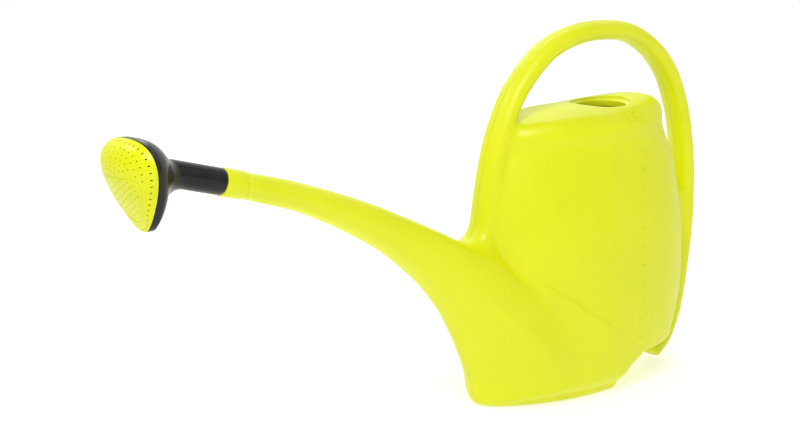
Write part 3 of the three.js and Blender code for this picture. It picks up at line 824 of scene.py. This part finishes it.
def shell_rows(inset, radius, theta):
    """Rows of the shell's outside, or of its inside with `inset` for the wall, from the rim to the socket."""
    rows = []
    for forward in np.linspace(-GAP, -BAND_STRAIGHT, 5):
        f = np.full(theta.shape, forward)
        rows.append(egg(theta, f, inset, np.ones(theta.shape), np.zeros(theta.shape), radius))
    for u in np.linspace(0, 1, 41):
        lead = np.minimum(1, u * (1 + ((1 + np.cos(theta)) / 2) ** 2))
        left = smooth(FLARE_SHAPE, lead)
        f = inset * smooth(FLARE_SHAPE, np.full(theta.shape, u)) - BAND_DEPTH - u * FLARE_LENGTH
        rows.append(egg(theta, f, inset, np.ones(theta.shape), 1 - left, radius))
    for at in np.linspace(TUBE_LENGTH + SOCKET_LENGTH, TUBE_LENGTH + GAP, 12)[1:]:
        ring = NOSE_UP * (radius * np.cos(theta))[:, None] + Y_AXIS * (radius * np.sin(theta))[:, None]
        rows.append(NOSE_START + NOSE_WAY * at + ring)
    return rows


class CAN_OT_rose_shell(bpy.types.Operator):
    """Rose shell: band, flare and socket, egg rings that turn into circles, with a wall"""

    bl_idname = "can.rose_shell"
    bl_label = "Rose shell"

    def execute(self, context):
        t = np.linspace(0, TAU, 192, endpoint=False)
        outside = shell_rows(0.0, SOCKET_RADIUS, t)
        soften = shell_rows(EDGE_RADIUS, SOCKET_RADIUS - EDGE_RADIUS, t)
        inside = shell_rows(ROSE_WALL, NOSE_RADIUS + GAP, t)
        first, last = outside[0], outside[-1]
        outside[0] = first + FACE_WAY * -0.5
        outside[-1] = last + NOSE_WAY * 0.6
        rows = [soften[0]] + outside + [last * 0.5 + soften[-1] * 0.5, soften[-1]] + inside[::-1]
        points = np.array(rows)
        faces = grid_faces(len(rows), len(t), True)
        shell = make_piece("rose_shell_fine", points, faces, black_pp(looks()), "rose")
        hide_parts("rose_shell")
        return {"FINISHED"}


def face_share(a, w):
    """Which ring of the face's dome holds the point (a up, w across): bisection between 0 and 1."""
    low, high = np.full(a.shape, 1e-3), np.full(a.shape, 1.4)
    for _ in range(40):
        s = (low + high) / 2
        c = (a - BULGE_RISE * (1 - s)) / (ROSE_HALF_HEIGHT * s)
        inside = np.abs(c) < 1
        cc = np.clip(c, -1, 1)
        wide = ROSE_HALF_WIDTH * s * (1 - cc * cc) ** (ROSE_BLUNTNESS / 2) * (1 + ROSE_LEAN * cc)
        held = inside & (np.abs(w) <= wide)
        high = np.where(held, s, high)
        low = np.where(held, low, s)
    return (low + high) / 2


def facet_edge(a, share):
    """Below 1 inside the facet's outline: a share of the face's rim below a rounded top edge."""
    side = share / FACET_SIDE
    top = 1 + (a - FACET_TOP) / FACET_REACH
    n = FACET_ROUNDING
    return (np.maximum(side, 0) ** n + np.maximum(top, 0) ** n) ** (1 / n)


def from_groove(a, share):
    """Distance in millimetres from the groove along the facet's outline, negative inside it."""
    return (facet_edge(a, share) - 1) * GROOVE_REACH


def face_height(a, w):
    """The dome, cut by the facet's slightly crowned plane, with a groove along the facet's outline."""
    share = face_share(a, w)
    dome = FACE_BULGE * np.sqrt(np.maximum(1 - np.minimum(share, 1) ** 2, 0))
    plane = FACET_HEIGHT + FACET_SLOPE * a - FACET_CROWN * w * w
    h = np.maximum(2.0 - np.abs(dome - plane), 0) / 2.0
    height = np.minimum(dome, plane) - h * h / 2
    groove = GROOVE_DEPTH * np.exp(-(from_groove(a, share) / GROOVE_WIDTH) ** 2)
    return np.maximum(height, 0) - groove * (share < 0.97)


def face_normal(a, w, step=0.15):
    """Outward normals of the face, from the slopes of its height over a step each way."""
    up = (face_height(a + step, w) - face_height(a - step, w)) / (2 * step)
    across = (face_height(a, w + step) - face_height(a, w - step)) / (2 * step)
    steep = np.maximum(np.hypot(up, across), 1e-9)
    cap = np.minimum(1, 3.0 / steep)
    normal = FACE_WAY - FACE_UP * (up * cap)[:, None] - Y_AXIS * (across * cap)[:, None]
    return normal / np.linalg.norm(normal, axis=1, keepdims=True)


class CAN_OT_rose_face(bpy.types.Operator):
    """Rose face: a triangulated egg with real holes, raised into the dome and given its wall"""

    bl_idname = "can.rose_face"
    bl_label = "Rose face"

    def execute(self, context):
        s = sizes()
        rings = []
        theta = np.linspace(0, TAU, 200, endpoint=False)
        c, sn = np.cos(theta), np.sin(theta)
        rim_a = ROSE_HALF_HEIGHT * c
        rim_w = ROSE_HALF_WIDTH * signed_power(sn, ROSE_BLUNTNESS) * (1 + ROSE_LEAN * c)
        rings.append(np.stack([rim_a, rim_w], 1) * 0.9995)
        holes = self.hole_places(s)
        corner = np.linspace(0, TAU, 9)[:-1]
        for a, w in holes:
            octagon = s.hole_radius * np.stack([np.cos(corner), np.sin(corner)], 1)
            rings.append(octagon + np.array([a, w]))
        inner = self.filling(holes, s)
        points = np.concatenate(rings + [inner])
        loops, start = [], 0
        for ring in rings:
            loops.append(list(range(start, start + len(ring))))
            start += len(ring)
        edges = [(loop[i], loop[(i + 1) % len(loop)]) for loop in loops for i in range(len(loop))]
        made = delaunay_2d_cdt([Vector(p) for p in points], edges, [], 0, 1e-6)
        flat = np.array([tuple(p) for p in made[0]])
        faces = np.array([f for f in made[2] if len(f) == 3])
        middle = flat[faces].mean(1)
        share = face_share(middle[:, 0], middle[:, 1])
        gap = np.min(np.hypot(middle[:, None, 0] - holes[:, 0], middle[:, None, 1] - holes[:, 1]), axis=1)
        faces = faces[(share < 1.0) & (gap > s.hole_radius * 0.93)]
        a, w = flat.T
        co = FACE_MIDDLE + FACE_UP * a[:, None] + Y_AXIS * w[:, None] + FACE_WAY * face_height(a, w)[:, None]
        used, faces = np.unique(faces, return_inverse=True)
        faces = faces.reshape(-1, 3)
        co, normal = co[used], face_normal(a[used], w[used])
        turned = np.cross(co[faces[:, 1]] - co[faces[:, 0]], co[faces[:, 2]] - co[faces[:, 0]])
        faces = np.where((turned @ FACE_WAY < 0)[:, None], faces[:, ::-1], faces)
        piece = self.thick_piece(co, normal, faces, s)
        dress(piece, lime_pp(looks()), "face")
        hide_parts("rose_face")
        return {"FINISHED"}

    def thick_piece(self, co, normal, faces, s):
        """The sheet, a copy of it one wall further in, and a wall round its rim and each hole. Corners
        of the two sheets are shaded by the dome's own normal, and those of the walls by their face's."""
        count = len(co)
        sides = np.concatenate([faces[:, [0, 1]], faces[:, [1, 2]], faces[:, [2, 0]]])
        codes = np.sort(sides, 1) @ np.array([count, 1])
        _, first, uses = np.unique(codes, return_index=True, return_counts=True)
        p, q = sides[first[uses == 1]].T
        walls = np.concatenate([np.stack([q, p, p + count], 1), np.stack([q, p + count, q + count], 1)])
        whole = np.concatenate([co, co - normal * s.face_wall])
        everything = np.concatenate([faces, faces[:, ::-1] + count, walls])
        across = np.cross(whole[walls[:, 1]] - whole[walls[:, 0]], whole[walls[:, 2]] - whole[walls[:, 0]])
        across = across / np.maximum(np.linalg.norm(across, axis=1, keepdims=True), 1e-9)
        sheets = [normal[faces.ravel()], -normal[faces[:, ::-1].ravel()]]
        corners = np.concatenate(sheets + [np.repeat(across, 3, 0)])
        mesh = bpy.data.meshes.new("rose_face_fine")
        mesh.from_pydata((whole * MM).tolist(), [], everything.tolist())
        mesh.shade_smooth()
        mesh.normals_split_custom_set(corners.tolist())
        piece = bpy.data.objects.new("rose_face_fine", mesh)
        bpy.context.scene.collection.objects.link(piece)
        return piece

    def hole_places(self, s):
        """Holes in columns up the facet, and in rings over the dome above it."""
        found = []
        for k, w in enumerate(np.arange(-30, 30.1, s.hole_pitch * 0.92)):
            for a in np.arange(-44, 14, s.hole_pitch):
                found.append((a + (k % 2) * s.hole_pitch / 2, w))
        found = np.array(found)
        inside = facet_edge(found[:, 0], face_share(found[:, 0], found[:, 1])) < 0.93
        found = list(found[inside])
        for share in np.arange(0.14, 0.96, 0.135):
            theta = np.linspace(0, TAU, 400, endpoint=False)
            a = BULGE_RISE * (1 - share) + ROSE_HALF_HEIGHT * share * np.cos(theta)
            w = ROSE_HALF_WIDTH * share * signed_power(np.sin(theta), ROSE_BLUNTNESS)
            w = w * (1 + ROSE_LEAN * np.cos(theta))
            walked = np.concatenate([[0], np.cumsum(np.hypot(np.diff(a), np.diff(w)))])
            count = max(3, int(walked[-1] / (s.hole_pitch * 1.15)))
            at = (np.arange(count) + 0.5) * walked[-1] / count
            ring = np.stack([np.interp(at, walked, a), np.interp(at, walked, w)], 1)
            keep = facet_edge(ring[:, 0], np.full(len(ring), share)) > 1.07
            found += list(ring[keep])
        return np.array(found)

    def filling(self, holes, s):
        """Points over the face: rings close enough to carry its curves, with fine pairs along the groove."""
        a, w = np.meshgrid(np.arange(-48, 48, 1.5), np.arange(-52, 52, 1.5), indexing="ij")
        a = a + 0.3 * np.sin(w * 1.7)
        a, w = a.ravel(), w.ravel()
        share = face_share(a, w)
        near = np.abs(from_groove(a, share)) < 3.0
        keep = (share < RIM_SHARE) & ~near
        fine_a, fine_w = np.meshgrid(np.arange(-48, 22, 0.5), np.arange(-50, 50, 0.5), indexing="ij")
        fine_a, fine_w = fine_a.ravel(), fine_w.ravel()
        fine_share = face_share(fine_a, fine_w)
        band = (np.abs(from_groove(fine_a, fine_share)) < 2.6) & (fine_share < RIM_SHARE)
        points = np.concatenate([np.stack([a[keep], w[keep]], 1), np.stack([fine_a[band], fine_w[band]], 1)])
        gap = np.min(np.hypot(points[:, None, 0] - holes[:, 0], points[:, None, 1] - holes[:, 1]), axis=1)
        return points[gap > s.hole_radius + 0.25]


# Lamps: name, place, what it is aimed at (metres), size in metres and power in watts.
LAMPS = [
    ("key", (-1.7, -1.5, 2.9), (0.0, 0.0, 0.2), 1.3, 70),
    ("fill", (1.9, -1.6, 1.5), (0.0, 0.0, 0.2), 1.8, 4),
    ("rim", (0.6, 1.9, 2.0), (0.0, 0.0, 0.2), 1.6, 13),
    ("rose_glow", (-1.1, 0.9, 1.5), (-0.5, 0.0, 0.3), 0.5, 5),
]
WORLD_LIGHT = 0.4
FLOOR_GLOW = 0.5  # so that the floor stays white round the can's soft shadow


class CAN_OT_stage(bpy.types.Operator):
    """Pale floor, soft studio lights and the camera"""

    bl_idname = "can.stage"
    bl_label = "Stage"

    def execute(self, context):
        scene = context.scene
        camera = bpy.data.objects.new("camera", bpy.data.cameras.new("camera"))
        scene.collection.objects.link(camera)
        camera.location = (-1.5466, -1.5282, 0.6789)
        camera.rotation_euler = (np.radians(78), 0, np.radians(-41))
        camera.data.lens = 84.15
        camera.data.sensor_width = 36
        camera.data.clip_end = 50
        scene.camera = camera
        self.floor()
        for lamp in LAMPS:
            self.light(*lamp)
        world = bpy.data.worlds.new("studio")
        scene.world = world
        world.use_nodes = True
        back = world.node_tree.nodes["Background"]
        back.inputs[0].default_value = (1, 1, 1, 1)
        back.inputs[1].default_value = WORLD_LIGHT
        scene.view_settings.view_transform = "Standard"
        return {"FINISHED"}

    def floor(self):
        """A flat floor that curves up behind: z = 0 to y = 2.4 m, then a quarter circle and a wall."""
        turned = np.linspace(0, np.pi / 2, 24)[1:]
        run = np.concatenate([np.linspace(-9, 2.4, 30), 2.4 + 1.5 * np.sin(turned), [3.9]])
        rise = np.concatenate([np.zeros(30), 1.5 - 1.5 * np.cos(turned), [6.0]])
        turn = np.radians(-41)
        side = np.linspace(-9, 9, 12)
        right, back = np.array([np.cos(turn), np.sin(turn)]), np.array([-np.sin(turn), np.cos(turn)])
        xy = side[None, :, None] * right + run[:, None, None] * back
        points = np.concatenate([xy, np.broadcast_to(rise[:, None, None], xy.shape[:2] + (1,))], -1)
        ids = np.arange(len(run) * len(side)).reshape(len(run), len(side))
        faces = np.stack([ids[:-1, :-1], ids[:-1, 1:], ids[1:, 1:], ids[1:, :-1]], -1).reshape(-1, 4)
        mesh = bpy.data.meshes.new("floor")
        mesh.from_pydata(points.reshape(-1, 3).tolist(), [], faces.tolist())
        mesh.shade_smooth()
        piece = bpy.data.objects.new("floor", mesh)
        bpy.context.scene.collection.objects.link(piece)
        material, tree, place, shader = new_finish("painted_studio_floor")
        shader.inputs["Roughness"].default_value = 0.85
        shader.inputs["Emission Color"].default_value = grey(1.0)
        shader.inputs["Emission Strength"].default_value = FLOOR_GLOW
        tone = ramp(tree, noise(tree, place, 400, 2.0), [(0.3, tuple(looks().floor)), (0.7, grey(0.68))])
        tree.links.new(tone, shader.inputs["Base Color"])
        mesh.materials.append(material)

    def light(self, name, place, target, size, power):
        lamp = bpy.data.lights.new(name, "AREA")
        lamp.size = size
        lamp.energy = power
        piece = bpy.data.objects.new(name, lamp)
        piece.location = place
        piece.rotation_euler = (Vector(target) - Vector(place)).to_track_quat("-Z", "Y").to_euler()
        bpy.context.scene.collection.objects.link(piece)


class CAN_PT_panel(bpy.types.Panel):
    """Lists the can's pieces in the order in which they are made"""

    bl_idname = "CAN_PT_panel"
    bl_label = "Watering Can"
    bl_space_type = "VIEW_3D"
    bl_region_type = "UI"
    bl_category = "Watering Can"

    def draw(self, context):
        for name in CanSizes.__annotations__:
            self.layout.prop(context.scene.can_sizes, name)
        for name in CanLooks.__annotations__:
            self.layout.prop(context.scene.can_looks, name)
        for operator in OPERATORS:
            self.layout.operator(operator.bl_idname)


OPERATORS = (
    CAN_OT_stage, CAN_OT_skin, CAN_OT_mouth, CAN_OT_nose, CAN_OT_scale, CAN_OT_rose_shell, CAN_OT_rose_face,
)
CLASSES = (CanSizes, CanLooks) + OPERATORS + (CAN_PT_panel,)


def register():
    for cls in CLASSES:
        bpy.utils.register_class(cls)
    bpy.types.Scene.can_sizes = PointerProperty(type=CanSizes)
    bpy.types.Scene.can_looks = PointerProperty(type=CanLooks)


def unregister():
    del bpy.types.Scene.can_looks
    del bpy.types.Scene.can_sizes
    for cls in reversed(CLASSES):
        bpy.utils.unregister_class(cls)


def main():
    register()
    bpy.ops.can.stage()
    bpy.ops.can.skin()
    bpy.ops.can.mouth()
    bpy.ops.can.nose()
    bpy.ops.can.scale()
    bpy.ops.can.rose_shell()
    bpy.ops.can.rose_face()


if __name__ == "__main__":
    main()
